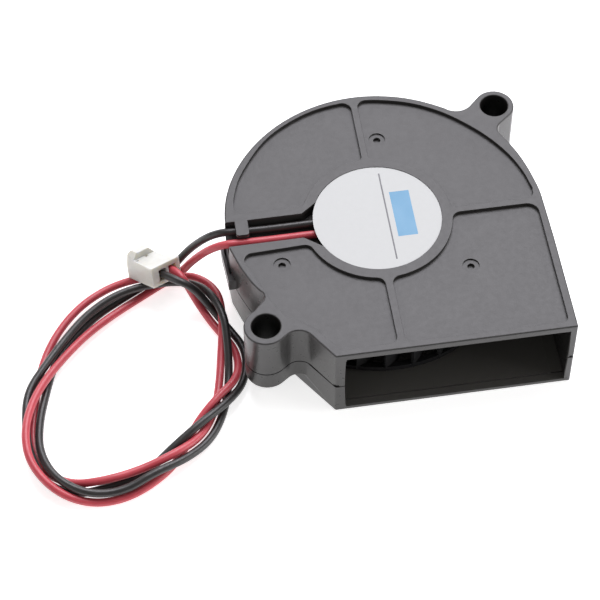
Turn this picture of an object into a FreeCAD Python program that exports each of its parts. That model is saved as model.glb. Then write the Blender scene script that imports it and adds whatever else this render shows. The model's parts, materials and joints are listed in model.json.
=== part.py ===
import FreeCAD, Part
import Sketcher
import os, math

# Small centrifugal blower, 15 mm thick, brushless motor in the hub.
# Frame: +Z up towards the label side, outlet towards -Y, origin under the
# middle of the casing on the plane that it stands on.  Millimetres.

V = FreeCAD.Vector
doc = FreeCAD.newDocument("blower")
sheet = doc.addObject("Spreadsheet::Sheet", "dims")

CELLS = [
    # casing heights
    ("casing_top", 15.0), ("split_level", 6.5), ("ceiling_level", 13.4), ("floor_thick", 1.2),
    ("ear_bottom", 2.9), ("pocket_deep", 0.6), ("recess_deep", 0.2), ("channel_floor", 12.8),
    ("trough_bottom", 12.4), ("tab_bottom", 14.3), ("boss_bottom", 12.8),
    # casing plan
    ("ear_hole_rad", 2.25), ("ear_left_x", -20.59), ("ear_left_y", -18.49),
    ("ear_right_x", 23.15), ("ear_right_y", 20.35), ("ear_left_rad", 3.5), ("ear_right_rad", 3.3),
    ("inlet_rad", 15.5), ("recess_rad", 10.42), ("label_rad", 10.36), ("label_thick", 0.12),
    ("front_edge", -25.88), ("right_edge", 27.17), ("strip_top", 9.1),
    ("shift_x", -0.9275), ("shift_y", 0.0059),
    # rotor
    ("hub_out_rad", 11.5), ("hub_in_rad", 10.75), ("hub_bottom", 2.2), ("hub_face_top", 3.2),
    ("web_bottom", 11.2), ("web_top", 12.0), ("wheel_rad", 21.0), ("tie_in_rad", 20.0),
    ("tie_bottom", 2.0), ("tie_top", 3.0), ("blade_in_rad", 15.2), ("blade_thick", 0.6), ("blade_count", 29),
    ("yoke_out_rad", 10.7), ("yoke_in_rad", 10.1), ("yoke_bottom", 3.2), ("yoke_face_top", 3.85), ("yoke_top", 11.0),
    ("magnet_out_rad", 10.05), ("magnet_in_rad", 9.1), ("magnet_bottom", 4.4), ("magnet_top", 10.6),
    ("insert_rad", 2.2), ("insert_bottom", 2.3), ("insert_top", 4.6),
    ("shaft_rad", 1.0), ("shaft_bottom", 2.3), ("shaft_top", 12.95), ("groove_rad", 0.75),
    ("groove_low", 12.3), ("groove_high", 12.6), ("clip_rad", 2.0),
    ("washer_in", 1.06), ("washer_out", 1.9), ("washer_low", 4.6), ("washer_high", 4.85),
    # stator
    ("tube_in_rad", 2.5), ("tube_out_rad", 3.2), ("tube_bottom", 4.9),
    ("sleeve_in_rad", 1.03), ("sleeve_bottom", 5.25), ("sleeve_top", 12.0),
    ("oil_ring_in", 1.2), ("oil_ring_low", 4.95), ("pad_bottom", 13.0),
    ("core_rad", 8.7), ("core_bottom", 6.2), ("core_top", 9.2), ("core_hub_rad", 4.6),
    ("board_rad", 8.6), ("board_hole", 3.4), ("board_bottom", 11.9), ("board_top", 12.7),
    # leads and plug
    ("lead_dia", 1.3),
    ("parting_deep", 0.18),
]
VAL = {}
for i, (name, value) in enumerate(CELLS):
    cell = "B%d" % (i + 1)
    sheet.set("A%d" % (i + 1), name)
    sheet.set(cell, str(value))
    sheet.setAlias(cell, name)
    VAL[name] = float(value)
doc.recompute()


def num(c):
    # a coordinate is a number, an alias, or (alias, offset)
    if isinstance(c, str):
        return VAL[c]
    if isinstance(c, tuple):
        return VAL[c[0]] + c[1]
    return float(c)


def expr(c):
    if isinstance(c, str):
        return "dims." + c
    if isinstance(c, tuple):
        return "dims.%s + (%.6f)" % c
    return None


NODES = []


def seat(ob):
    # every sub-part is modelled about the rotor axis and moved to the casing frame
    ob.Placement = FreeCAD.Placement(V(VAL["shift_x"], VAL["shift_y"], 0), FreeCAD.Rotation())
    ob.setExpression("Placement.Base.x", "dims.shift_x")
    ob.setExpression("Placement.Base.y", "dims.shift_y")
    NODES.append(ob)
    return ob


def new_body(name):
    b = doc.addObject("PartDesign::Body", name)
    b.Label = name
    return b


def plane(b, role):
    for f in b.Origin.OriginFeatures:
        if f.Role == role:
            return f


def new_sketch(b, name, level=None, role="XY_Plane"):
    s = b.newObject("Sketcher::SketchObject", name)
    s.AttachmentSupport = [(plane(b, role), "")]
    s.MapMode = "FlatFace"
    if level is not None:
        s.AttachmentOffset = FreeCAD.Placement(V(0, 0, num(level)), FreeCAD.Rotation())
        if expr(level):
            s.setExpression("AttachmentOffset.Base.z", expr(level))
    return s


def circle(s, radius, cx=0.0, cy=0.0):
    g = s.addGeometry(Part.Circle(V(num(cx), num(cy), 0), V(0, 0, 1), num(radius)), False)
    c = s.addConstraint(Sketcher.Constraint("Radius", g, num(radius)))
    if expr(radius):
        s.setExpression("Constraints[%d]" % c, expr(radius))
    return g


def polygon(s, pts):
    # closed outline whose corners are bound to the sheet where they name a cell
    n = len(pts)
    base = None
    for i in range(n):
        a, b = pts[i], pts[(i + 1) % n]
        g = s.addGeometry(Part.LineSegment(V(num(a[0]), num(a[1]), 0), V(num(b[0]), num(b[1]), 0)), False)
        if base is None:
            base = g
    for i in range(n):
        s.addConstraint(Sketcher.Constraint("Coincident", base + i, 2, base + (i + 1) % n, 1))
    for i in range(n):
        for kind, c in (("DistanceX", pts[i][0]), ("DistanceY", pts[i][1])):
            if expr(c) and abs(num(c)) > 1e-6:
                k = s.addConstraint(Sketcher.Constraint(kind, -1, 1, base + i, 1, num(c)))
                s.setExpression("Constraints[%d]" % k, expr(c))


def pad(b, s, name, length, low=None):
    p = b.newObject("PartDesign::Pad", name)
    p.Profile = s
    p.Length = num(length) - (num(low) if low is not None else 0)
    if low is not None:
        p.setExpression("Length", "%s - (%s)" % (expr(length) or "%.6f" % num(length), expr(low) or "%.6f" % num(low)))
    elif expr(length):
        p.setExpression("Length", expr(length))
    doc.recompute()
    return p


def cut(b, s, name, high, low, up=False):
    # removes material between two levels; checked by volume
    before = b.Shape.Volume
    p = b.newObject("PartDesign::Pocket", name)
    p.Profile = s
    p.Length = num(high) - num(low)
    p.setExpression("Length", "%s - (%s)" % (expr(high) or "%.6f" % num(high), expr(low) or "%.6f" % num(low)))
    p.Reversed = up
    doc.recompute()
    after = b.Shape.Volume
    if not after < before - 1e-4:
        raise RuntimeError("%s removed nothing" % name)
    return p


def lathe(name, profile):
    # solid of revolution about Z from (radius, height) corners
    b = new_body(name)
    s = new_sketch(b, name + "_profile", None, "XZ_Plane")
    polygon(s, profile)
    r = b.newObject("PartDesign::Revolution", name + "_turn")
    r.Profile = s
    r.ReferenceAxis = (s, ["V_Axis"])
    r.Angle = 360.0
    doc.recompute()
    return b


# ---------------------------------------------------------------- outlines

def pt(p):
    return V(p[0], p[1], 0)


def biarc(p0, t0, p1, t1):
    # two arcs with a common tangent between two points with given directions
    p0, t0, p1, t1 = [V(*q, 0) if not isinstance(q, V) else q for q in (p0, t0, p1, t1)]
    t0 = V(t0).normalize()
    t1 = V(t1).normalize()
    v = p1 - p0
    t = t0 + t1
    den = 2 * (1 - t0.dot(t1))
    vt = v.dot(t)
    if abs(den) < 1e-9:
        d = v.dot(v) / (4 * v.dot(t1))
    else:
        d = (-vt + math.sqrt(vt * vt + den * v.dot(v))) / den
    q0 = p0 + t0 * d
    q1 = p1 - t1 * d
    pm = (q0 + q1) * 0.5
    out = []
    for a, ta, c in ((p0, t0, pm), (pm, (q1 - q0).normalize(), p1)):
        w = c - a
        side = ta.x * w.y - ta.y * w.x
        if abs(side) < 1e-5 * w.Length:
            out.append(Part.LineSegment(a, c))
            continue
        nrm = V(-ta.y, ta.x, 0)
        rad = w.dot(w) / (2 * w.dot(nrm))
        cen = a + nrm * rad
        m = (a + c) * 0.5 - cen
        m = cen + m.normalize() * abs(rad)
        out.append(Part.Arc(a, m, c))
    return out


def smooth(nodes, first=None, last=None):
    # tangent arcs through a row of points
    ps = [pt(p) for p in nodes]
    n = len(ps)
    tg = []
    for i in range(n):
        if i == 0:
            t = V(*first, 0) if first else (ps[1] - ps[0]) * 2 - (ps[2] - ps[0]) * 0.5
        elif i == n - 1:
            t = V(*last, 0) if last else (ps[-1] - ps[-2]) * 2 - (ps[-1] - ps[-3]) * 0.5
        else:
            a, c = ps[i] - ps[i - 1], ps[i + 1] - ps[i]
            t = a * (c.Length / a.Length) + c * (a.Length / c.Length)
        tg.append(t.normalize())
    out = []
    for i in range(n - 1):
        out += biarc(ps[i], tg[i], ps[i + 1], tg[i + 1])
    return out


def polar(table):
    return [(r * math.cos(math.radians(a)), r * math.sin(math.radians(a))) for a, r in table]


def seg(a, b):
    return [Part.LineSegment(pt(a), pt(b))]


def arc3(a, m, b):
    return [Part.Arc(pt(a), pt(m), pt(b))]


def end_of(parts):
    return parts[-1].EndPoint


def shape_of(parts):
    return Part.Face(Part.Wire([g.toShape() for g in parts]))


EL = (VAL["ear_left_x"], VAL["ear_left_y"])
ER = (VAL["ear_right_x"], VAL["ear_right_y"])
RL, RR = VAL["ear_left_rad"], VAL["ear_right_rad"]
FRONT, RIGHT = VAL["front_edge"], VAL["right_edge"]


def on(c, r, deg):
    return (c[0] + r * math.cos(math.radians(deg)), c[1] + r * math.sin(math.radians(deg)))


SCROLL_LEFT_TOP = polar([(186.3, 24.45), (174, 24.5), (163, 24.75), (150, 24.95), (135, 25.15),
                         (119, 25.42), (103, 25.7), (88, 25.88), (72, 25.92), (54.5, 25.9)])
SCROLL_LEFT_FOOT = [(-21.4, -10.42), (-22.4, -8.32), (-23.1, -6.55), (-23.75, -4.5)]
SCROLL_RIGHT = polar([(31.6, 27.05), (25.8, 26.93), (18.5, 26.83), (10.8, 26.8), (0.2, 27.0)])


def ear_right():
    # from the scroll at its upper right, round the right ear, back to the scroll
    a = SCROLL_LEFT_TOP[-1]
    b = (19.15, 21.0)
    c = on(ER, RR, 137.0)
    d = on(ER, RR, -40.0)
    e = (23.35, 16.35)
    out = arc3(a, (17.2, 20.22), b) + seg(b, c)
    out += arc3(c, on(ER, RR, 48.0), d) + seg(d, e)
    out += arc3(e, (22.80, 15.36), SCROLL_RIGHT[0])
    return out


def front_right():
    a = SCROLL_RIGHT[-1]
    return seg(a, (RIGHT, -8.0)) + seg((RIGHT, -8.0), (RIGHT, FRONT)) + seg((RIGHT, FRONT), (-10.8, FRONT))


def upper_outline():
    out = smooth(SCROLL_LEFT_TOP)
    out += ear_right()
    out += smooth(SCROLL_RIGHT, None, (0.01, -1.0))
    out += front_right()
    w = (-13.9, -21.25)
    out += seg((-10.8, FRONT), w)
    x = (-17.7, -20.72)
    out += arc3(w, (-15.68, -20.11), x)
    y = on(EL, RL, 305.0)
    out += seg(x, y)
    z = on(EL, RL, 114.0)
    out += arc3(y, on(EL, RL, 210.0), z)
    q = (-20.55, -13.75)
    s = (-20.5, -11.75)
    out += seg(z, q) + arc3(q, (-20.05, -12.8), s)
    out += smooth([s] + SCROLL_LEFT_FOOT + [SCROLL_LEFT_TOP[0]])
    return out


def lower_outline():
    out = smooth(SCROLL_LEFT_TOP)
    e = end_of(out)
    # the foot has no ears: the scroll runs straight past the right one
    out += arc3((e.x, e.y), on((0, 0), 26.5, 43.0), SCROLL_RIGHT[0])
    out += smooth(SCROLL_RIGHT, None, (0.01, -1.0))
    out += front_right()
    out += seg((-10.8, FRONT), (-16.05, -18.35))
    out += smooth([(-16.05, -18.35), (-18.3, -15.2), (-20.45, -11.95)] + SCROLL_LEFT_FOOT + [SCROLL_LEFT_TOP[0]])
    return out


CAVITY = polar([(238.2, 22.6), (225, 22.6), (211, 22.6), (199, 22.88), (186, 23.2), (170, 23.45), (150, 23.8),
                (135, 24.0), (119, 24.25), (103, 24.5), (88, 24.68), (72, 24.75), (54, 24.95), (40, 25.45),
                (25.8, 25.7), (12, 25.68), (0.2, 25.9)])


def cavity_outline(y_out):
    out = smooth(CAVITY, (-0.85, 0.53), (0.01, -1.0))
    a = CAVITY[-1]
    out += seg(a, (RIGHT - 1.05, -10.0)) + seg((RIGHT - 1.05, -10.0), (RIGHT - 1.05, y_out))
    out += seg((RIGHT - 1.05, y_out), (-8.9, y_out))
    out += seg((-8.9, y_out), (-9.2, FRONT)) if y_out < FRONT - 0.01 else []
    b = (-11.55, -20.9)
    out += seg((-9.2, FRONT), b)
    out += arc3(b, (-11.85, -20.1), CAVITY[0])
    return out


def place(s, parts):
    s.addGeometry(parts, False)


# ---------------------------------------------------------------- motor housing (upper shell)

b = new_body("motor_housing")
s = new_sketch(b, "housing_outline", "split_level")
place(s, upper_outline())
pad(b, s, "housing_block", "casing_top", "split_level")
s = new_sketch(b, "housing_cavity", "split_level")
place(s, cavity_outline(FRONT - 1.5))
cut(b, s, "housing_hollow", "ceiling_level", "split_level", up=True)
# the outlet's edge is thinner than the walls behind it


def mouth_edge(s):
    polygon(s, [(-9.1, FRONT - 0.5), (RIGHT - 1.05, FRONT - 0.5), (RIGHT - 1.05, FRONT + 1.2), (-9.1, FRONT + 1.2)])


s = new_sketch(b, "upper_mouth_outline", ("ceiling_level", -0.1))
mouth_edge(s)
cut(b, s, "upper_mouth_edge", ("ceiling_level", 0.42), ("ceiling_level", -0.1), up=True)
# the lead channel's own floor hangs below the ceiling
s = new_sketch(b, "trough_outline", "trough_bottom")
polygon(s, [(-23.9, -3.5), (-13.4, -3.5), (-11.2, -5.3), (-9.0, -5.3),
            (-9.0, 5.5), (-11.2, 5.5), (-13.4, 3.7), (-23.9, 3.7)])
pad(b, s, "trough", "ceiling_level", "trough_bottom")
# collar round the bearing holder
s = new_sketch(b, "collar_outline", "boss_bottom")
circle(s, 4.4)
circle(s, ("tube_out_rad", 0.05))
pad(b, s, "collar", "ceiling_level", "boss_bottom")

# shallow pockets between the ribs of the top face
s = new_sketch(b, "pocket_outlines", "casing_top")
HR = 12.1


def hub_corner(deg, q, inside, r):
    # rounded corner between the hub ring and a rib side that ends at q:
    # points on the ring, in the middle of the corner, and on the side
    p, q = pt(on((0, 0), HR, deg)), pt(q)
    d = (q - p).normalize()
    n = V(-d.y, d.x, 0)
    if n.dot(pt(on((0, 0), HR + 5.0, inside)) - p) < 0:
        n = n * -1.0
    w = p + n * r
    k = w.dot(d)
    c = w + d * (-k + math.sqrt(k * k - (w.dot(w) - (HR + r) ** 2)))
    t1, t2 = c * (HR / c.Length), c - n * r
    m = c + ((t1 - c) + (t2 - c)).normalize() * r
    return [(v.x, v.y) for v in (t1, m, t2)]


def pocket(start, rib_start, end, rib_end, r, outer):
    # hub side between two rounded corners, then round the outer side and back
    mid = 0.5 * (start + end)
    a1, am, a2 = hub_corner(start, rib_start, mid, r)
    e1, em, e2 = hub_corner(end, rib_end, mid, r)
    return (arc3(a1, on((0, 0), HR, mid), e1) + arc3(e1, em, e2) + seg(e2, rib_end) + outer +
            seg(rib_start, a2) + arc3(a2, am, a1))


ul = arc3((-21.3, 4.04), (-22.2, 4.3), (-22.5, 5.2))
ul += smooth([(-22.5, 5.2), (-21.6, 9.6), (-18.75, 14.85), (-15.2, 19.1), (-11.2, 21.9), (-6.9, 23.8), (-2.6, 24.65)])
ul += arc3((-2.6, 24.65), (-1.0, 24.3), (-0.5, 22.9))
ul = pocket(92.4, (-0.5, 22.9), 160.5, (-21.3, 4.04), 0.8, ul)
ur = arc3((0.6, 23.2), (1.0, 24.35), (2.4, 24.75))
ur += smooth([(2.4, 24.75), (5.6, 24.2), (9.7, 22.9), (13.8, 20.6), (18.0, 17.0), (21.75, 12.5), (24.25, 7.9), (25.5, 3.6), (25.7, 1.6)])
ur += arc3((25.7, 1.6), (25.35, 0.55), (24.4, 0.2))
ur = pocket(0.95, (24.4, 0.2), 87.2, (0.6, 23.2), 0.8, ur)
lr = arc3((24.0, -0.9), (25.35, -1.45), (25.9, -2.8))
lr += seg((25.9, -2.8), (25.9, -23.6)) + arc3((25.9, -23.6), (25.6, -24.4), (24.8, -24.7))
lr += seg((24.8, -24.7), (1.4, -24.7)) + arc3((1.4, -24.7), (0.6, -24.4), (0.3, -23.6))
lr = pocket(271.4, (0.3, -23.6), 355.7, (24.0, -0.9), 1.4, lr)
ll = arc3((-0.9, -23.4), (-1.25, -24.3), (-2.1, -24.7))
ll += seg((-2.1, -24.7), (-9.9, -24.7)) + seg((-9.9, -24.7), (-13.0, -20.25)) + arc3((-13.0, -20.25), (-14.9, -18.6), (-17.05, -17.3))
ll += arc3((-17.05, -17.3), (-18.3, -15.4), (-19.4, -13.1))
ll += seg((-19.4, -13.1), (-22.15, -5.9)) + arc3((-22.15, -5.9), (-22.0, -4.75), (-21.0, -4.15))
ll = pocket(198.0, (-21.0, -4.15), 265.7, (-0.9, -23.4), 1.4, ll)
for g in (ul, ur, lr, ll):
    place(s, g)
cut(b, s, "pockets", "casing_top", ("casing_top", -VAL["pocket_deep"]))
s = new_sketch(b, "recess_outline", "casing_top")
circle(s, "recess_rad")
cut(b, s, "label_recess", "casing_top", ("casing_top", -VAL["recess_deep"]))

# outer strip on the wall below the place where the leads come out
STRIP = [(-24.86, -4.75), (-25.06, -2.1), (-25.18, -0.44), (-25.3, 1.22), (-25.3, 2.9)]
s = new_sketch(b, "strip_outline", "split_level")
place(s, smooth(STRIP) + seg(STRIP[-1], (-24.0, 2.9)) + seg((-24.0, 2.9), (-23.3, -4.75)) + seg((-23.3, -4.75), STRIP[0]))
pad(b, s, "strip", "strip_top", "split_level")
s = new_sketch(b, "strip_slot_outline", "strip_top")
place(s, smooth([(-24.52, -3.4), (-24.62, -2.1), (-24.74, -0.44), (-24.86, 1.22), (-24.87, 2.3)]) + seg((-24.87, 2.3), (-24.46, 2.3)) +
      arc3((-24.46, 2.3), (-24.52, -0.3), (-24.2, -3.4)) + seg((-24.2, -3.4), (-24.52, -3.4)))
cut(b, s, "strip_slot", "strip_top", ("split_level", 0.8))

# channel for the two leads, from the hub out through the wall
s = new_sketch(b, "channel_outline", "casing_top")
chan = seg((-26.5, -2.35), (-12.2, -2.3)) + seg((-12.2, -2.3), (-9.6, -4.3)) + seg((-9.6, -4.3), (-9.2, 4.6))
chan += seg((-9.2, 4.6), (-11.9, 2.55)) + seg((-11.9, 2.55), (-26.5, 2.55)) + seg((-26.5, 2.55), (-26.5, -2.35))
place(s, chan)
cut(b, s, "channel", "casing_top", "channel_floor")
# its floor slopes down where the leads leave
s = new_sketch(b, "ramp_outline", None, "XZ_Plane")
polygon(s, [(-23.4, 12.82), (-25.2, 12.82), (-25.2, 12.0), (-24.7, 12.0)])
ramp = b.newObject("PartDesign::Pocket", "channel_ramp")
ramp.Profile = s
ramp.Midplane = True
ramp.Length = 4.6
doc.recompute()
s = new_sketch(b, "hub_slot_outline", "casing_top")
polygon(s, [(-10.0, -2.5), (-5.7, -2.5), (-5.7, 3.0), (-10.0, 3.0)])
cut(b, s, "hub_slot", "casing_top", "channel_floor")
s = new_sketch(b, "tab_outline", "tab_bottom")
place(s, seg((-22.8, 2.8), (-22.8, 0.1)) + arc3((-22.8, 0.1), (-22.6, -0.25), (-22.2, -0.35)) +
      seg((-22.2, -0.35), (-21.2, -0.35)) + arc3((-21.2, -0.35), (-20.85, -0.2), (-20.7, 0.2)) +
      seg((-20.7, 0.2), (-20.7, 2.8)) + seg((-20.7, 2.8), (-22.8, 2.8)))
pad(b, s, "lead_tab", "casing_top", "tab_bottom")

# ejector marks
MARKS = [(2.7, 16.5), (-16.4, -6.7), (13.1, -11.4)]
s = new_sketch(b, "mark_rings", "casing_top")
for m in MARKS:
    circle(s, 1.37, m[0], m[1])
cut(b, s, "mark_discs", "casing_top", ("casing_top", -VAL["pocket_deep"] - 0.25))
s = new_sketch(b, "mark_dots", "casing_top")
for m in MARKS:
    circle(s, 0.6, m[0], m[1])
cut(b, s, "mark_holes", "casing_top", ("casing_top", -VAL["pocket_deep"] - 0.75))
s = new_sketch(b, "upper_ear_holes", "casing_top")
circle(s, "ear_hole_rad", EL[0], EL[1])
circle(s, "ear_hole_rad", ER[0], ER[1])
cut(b, s, "upper_ear_bores", "casing_top", "split_level")
# narrow groove along the parting line, all round, and a notch in each wall of the outlet


def drawn(edges):
    out = []
    for e in edges:
        u, w = e.ParameterRange
        p0, pm, p1 = e.valueAt(u), e.valueAt(0.5 * (u + w)), e.valueAt(w)
        p0.z = pm.z = p1.z = 0
        bend = (pm - p0).cross(p1 - pm).Length
        out.append(Part.LineSegment(p0, p1) if bend < 1e-7 else Part.Arc(p0, pm, p1))
    return out


rim = Part.Wire([g.toShape() for g in upper_outline()])
s = new_sketch(b, "parting_outline", "split_level")
polygon(s, [(-40, -40), (40, -40), (40, 40), (-40, 40)])
place(s, drawn(rim.makeOffset2D(-VAL["parting_deep"], 0).Edges))
cut(b, s, "parting_groove", ("split_level", 0.22), "split_level", up=True)
s = new_sketch(b, "notch_outline", "split_level")
polygon(s, [(-11.2, FRONT - 0.5), (-10.2, FRONT - 0.5), (-10.2, FRONT + 0.45), (-11.2, FRONT + 0.45)])
polygon(s, [(RIGHT - 0.75, FRONT - 0.5), (RIGHT + 0.5, FRONT - 0.5), (RIGHT + 0.5, FRONT + 0.45), (RIGHT - 0.75, FRONT + 0.45)])
cut(b, s, "wall_notches", ("split_level", 0.6), "split_level", up=True)
seat(b)

# ---------------------------------------------------------------- inlet cover (lower shell)

b = new_body("inlet_cover")
s = new_sketch(b, "cover_outline", None)
place(s, lower_outline())
pad(b, s, "cover_block", "split_level")
s = new_sketch(b, "cover_ears", "ear_bottom")
place(s, upper_outline())
pad(b, s, "cover_upper_block", "split_level", "ear_bottom")
s = new_sketch(b, "cover_cavity", "split_level")
place(s, cavity_outline(FRONT - 1.5))
cut(b, s, "cover_hollow", "split_level", "floor_thick")
s = new_sketch(b, "lower_mouth_outline", ("floor_thick", 0.1))
mouth_edge(s)
cut(b, s, "lower_mouth_edge", ("floor_thick", 0.1), ("floor_thick", -0.4))
s = new_sketch(b, "inlet_outline", "floor_thick")
circle(s, "inlet_rad")
cut(b, s, "inlet", "floor_thick", -0.1)
s = new_sketch(b, "lower_ear_holes", "split_level")
circle(s, "ear_hole_rad", EL[0], EL[1])
circle(s, "ear_hole_rad", ER[0], ER[1])
cut(b, s, "lower_ear_bores", "split_level", ("ear_bottom", -0.1))
seat(b)

# ---------------------------------------------------------------- label

b = new_body("label")
s = new_sketch(b, "label_outline", ("casing_top", -VAL["recess_deep"]))
circle(s, "label_rad")
pad(b, s, "label_disc", "label_thick")
seat(b)

# ---------------------------------------------------------------- bearing group

seat(lathe("bearing_holder", [("tube_in_rad", "tube_bottom"), ("tube_out_rad", "tube_bottom"),
                              ("tube_out_rad", "ceiling_level"), ("tube_in_rad", "ceiling_level")]))
seat(lathe("sleeve_bearing", [("sleeve_in_rad", "sleeve_bottom"), ("tube_in_rad", "sleeve_bottom"),
                              ("tube_in_rad", "sleeve_top"), ("sleeve_in_rad", "sleeve_top")]))
seat(lathe("oil_retainer_ring", [("oil_ring_in", "oil_ring_low"), ("tube_in_rad", "oil_ring_low"),
                                 ("tube_in_rad", ("oil_ring_low", 0.25)), ("oil_ring_in", ("oil_ring_low", 0.25))]))
b = new_body("thrust_pad")
s = new_sketch(b, "thrust_pad_outline", "pad_bottom")
circle(s, "tube_in_rad")
pad(b, s, "thrust_pad_disc", "ceiling_level", "pad_bottom")
seat(b)

# ---------------------------------------------------------------- rotor

b = new_body("impeller")
s = new_sketch(b, "hub_profile", None, "XZ_Plane")
polygon(s, [(("insert_rad", 0.05), "hub_bottom"), (("hub_out_rad", -0.8), "hub_bottom"), ("hub_out_rad", ("hub_bottom", 0.8)),
            ("hub_out_rad", "web_bottom"), ("wheel_rad", "web_bottom"), ("wheel_rad", "web_top"),
            ("hub_in_rad", "web_top"), ("hub_in_rad", "hub_face_top"), (("insert_rad", 0.05), "hub_face_top")])
r = b.newObject("PartDesign::Revolution", "hub_turn")
r.Profile = s
r.ReferenceAxis = (s, ["V_Axis"])
r.Angle = 360.0
doc.recompute()
s = new_sketch(b, "tie_ring_outline", "tie_bottom")
circle(s, "wheel_rad")
circle(s, "tie_in_rad")


def blade_profile():
    # forward-curved blade: leans into the turning direction towards the rim
    ri, ro, th = VAL["blade_in_rad"], VAL["wheel_rad"] - 0.15, VAL["blade_thick"]
    a, c = on((0, 0), ri, 0.0), on((0, 0), ro, -9.0)
    m = on((0, 0), 0.5 * (ri + ro), -1.2)
    base = Part.Arc(pt(a), pt(m), pt(c))
    crv = base.toShape().Curve
    cen, rad = crv.Center, crv.Radius

    def off(p, d):
        w = pt(p) - cen
        return cen + w.normalize() * (rad + d)
    o, i = th / 2, -th / 2
    return [Part.Arc(off(a, o), off(m, o), off(c, o)), Part.LineSegment(off(c, o), off(c, i)),
            Part.Arc(off(c, i), off(m, i), off(a, i)), Part.LineSegment(off(a, i), off(a, o))]


blade_sketch = new_sketch(b, "blade_outline", "tie_bottom")
place(blade_sketch, blade_profile())
blade = pad(b, blade_sketch, "blade", ("web_bottom", 0.05), "tie_bottom")
pp = b.newObject("PartDesign::PolarPattern", "blade_ring")
pp.Originals = [blade]
pp.Axis = (blade_sketch, ["N_Axis"])
pp.Angle = 360.0
pp.Occurrences = int(VAL["blade_count"])
pp.setExpression("Occurrences", "dims.blade_count")
b.Tip = pp
doc.recompute()
ring = b.newObject("PartDesign::Pad", "tie_ring")
ring.Profile = s
ring.setExpression("Length", "dims.tie_top - dims.tie_bottom")
doc.recompute()
b.Tip = ring
doc.recompute()
seat(b)

seat(lathe("rotor_yoke", [(("insert_rad", 0.05), "yoke_bottom"), ("yoke_out_rad", "yoke_bottom"),
                          ("yoke_out_rad", "yoke_top"), ("yoke_in_rad", "yoke_top"),
                          ("yoke_in_rad", "yoke_face_top"), (("insert_rad", 0.05), "yoke_face_top")]))
seat(lathe("ring_magnet", [("magnet_in_rad", "magnet_bottom"), ("magnet_out_rad", "magnet_bottom"),
                           ("magnet_out_rad", "magnet_top"), ("magnet_in_rad", "magnet_top")]))
seat(lathe("rotor_boss", [("shaft_rad", "insert_bottom"), ("insert_rad", "insert_bottom"),
                          ("insert_rad", "insert_top"), ("shaft_rad", "insert_top")]))
b = new_body("shaft")
s = new_sketch(b, "shaft_outline", "shaft_bottom")
circle(s, "shaft_rad")
pad(b, s, "shaft_rod", "shaft_top", "shaft_bottom")
s = new_sketch(b, "groove_outline", "groove_high")
circle(s, ("shaft_rad", 0.5))
circle(s, "groove_rad")
cut(b, s, "clip_groove", "groove_high", "groove_low")
seat(b)
seat(lathe("retaining_ring", [(("groove_rad", 0.01), ("groove_low", 0.03)), ("clip_rad", ("groove_low", 0.03)),
                              ("clip_rad", ("groove_high", -0.03)), (("groove_rad", 0.01), ("groove_high", -0.03))]))
seat(lathe("thrust_washer", [("washer_in", "washer_low"), ("washer_out", "washer_low"),
                             ("washer_out", "washer_high"), ("washer_in", "washer_high")]))

# ---------------------------------------------------------------- stator


def four(b, feats, axis_sketch, name):
    q = b.newObject("PartDesign::PolarPattern", name)
    q.Originals = feats
    q.Axis = (axis_sketch, ["N_Axis"])
    q.Angle = 360.0
    q.Occurrences = 4
    b.Tip = q
    doc.recompute()
    return q


b = new_body("stator_core")
s = new_sketch(b, "core_hub_outline", "core_bottom")
circle(s, "core_hub_rad")
circle(s, ("tube_out_rad", 0.02))
pad(b, s, "core_hub", "core_top", "core_bottom")
s = new_sketch(b, "pole_outline", "core_bottom")
RO, RI = VAL["core_rad"], VAL["core_rad"] - 0.9
xa = math.sqrt(RI * RI - 0.64)
aa = math.degrees(math.atan2(0.8, xa))
place(s, seg((4.3, -0.8), (xa, -0.8)) + arc3((xa, -0.8), on((0, 0), RI, -20.0), on((0, 0), RI, -37.0)) +
      seg(on((0, 0), RI, -37.0), on((0, 0), RO, -37.0)) + arc3(on((0, 0), RO, -37.0), (RO, 0.0), on((0, 0), RO, 37.0)) +
      seg(on((0, 0), RO, 37.0), on((0, 0), RI, 37.0)) + arc3(on((0, 0), RI, 37.0), on((0, 0), RI, 20.0), (xa, 0.8)) +
      seg((xa, 0.8), (4.3, 0.8)) + seg((4.3, 0.8), (4.3, -0.8)))
f = pad(b, s, "pole", "core_top", "core_bottom")
four(b, [f], s, "poles")
seat(b)


def insulator(name, near, far, arm_far, flange_far, collar_far, up):
    # near: face on the core; heights grow away from it
    b = new_body(name)
    lo, hi = (near, collar_far) if up else (collar_far, near)
    s = new_sketch(b, name + "_collar_outline", lo)
    circle(s, 4.1)
    circle(s, ("tube_out_rad", 0.05))
    pad(b, s, name + "_collar", hi, lo)
    lo, hi = (near, arm_far) if up else (arm_far, near)
    s1 = new_sketch(b, name + "_arm_outline", lo)
    polygon(s1, [(3.6, -1.1), (8.2, -1.1), (8.2, 1.1), (3.6, 1.1)])
    f1 = pad(b, s1, name + "_arm", hi, lo)
    lo, hi = (near, flange_far) if up else (flange_far, near)
    s2 = new_sketch(b, name + "_flange_outline", lo)
    polygon(s2, [(7.4, -2.4), (8.3, -2.4), (8.3, 2.4), (7.4, 2.4)])
    f2 = pad(b, s2, name + "_flange", hi, lo)
    four(b, [f1, f2], s1, name + "_arms")
    seat(b)


insulator("upper_insulator", "core_top", None, ("core_top", 0.45), ("core_top", 1.4), "board_bottom", True)
insulator("lower_insulator", "core_bottom", None, ("core_bottom", -0.45), ("core_bottom", -1.2), ("core_bottom", -1.0), False)


def baked(shape):
    # the shape's own placement goes into its geometry, because seat() sets the object's
    m = shape.Placement.toMatrix()
    sh = shape.copy()
    sh.Placement = FreeCAD.Placement()
    sh.transformShape(m, True)
    return sh


def feature(name, shape):
    ob = doc.addObject("Part::Feature", name)
    ob.Label = name
    ob.Shape = baked(shape)
    return seat(ob)


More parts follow.
